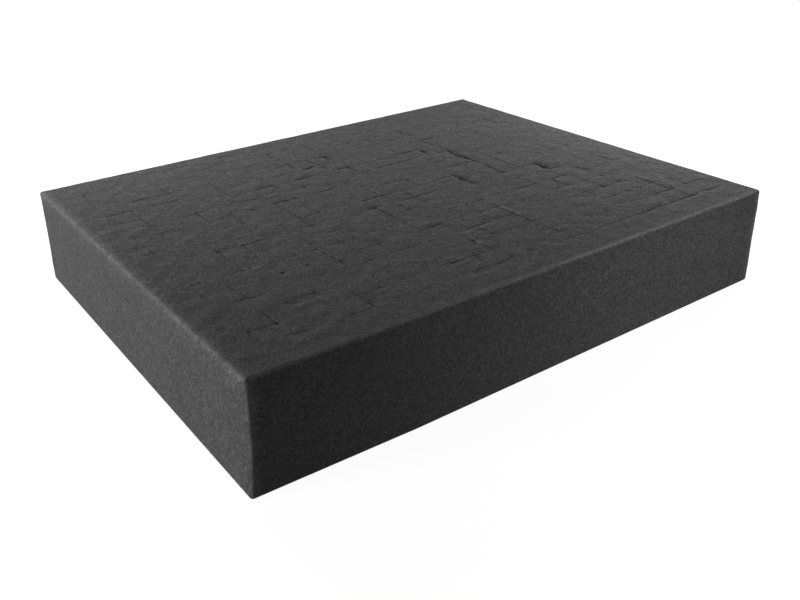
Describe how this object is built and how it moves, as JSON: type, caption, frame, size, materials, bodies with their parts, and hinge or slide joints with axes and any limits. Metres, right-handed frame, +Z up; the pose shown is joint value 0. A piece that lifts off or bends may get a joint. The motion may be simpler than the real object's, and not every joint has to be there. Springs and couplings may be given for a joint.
{
  "type": "pick and pluck foam insert",
  "caption": "Rectangular charcoal foam slab, its top diced by a grid of slits into small square pillars that are plucked out to make a nest, with a plain uncut border.",
  "frame": {"origin": "middle of the underside, on the surface that the insert lies on", "axes": "+X along the long side, +Y along the short side from the front to the back, +Z up out of the slit top"},
  "size_m": [0.345, 0.275, 0.0605],
  "materials": {
    "foam": "matte charcoal open-cell polyurethane foam, knife-cut, with fine pores"
  },
  "bodies": {
    "root": {"foam_insert": "foam"}
  },
  "joints": []
}
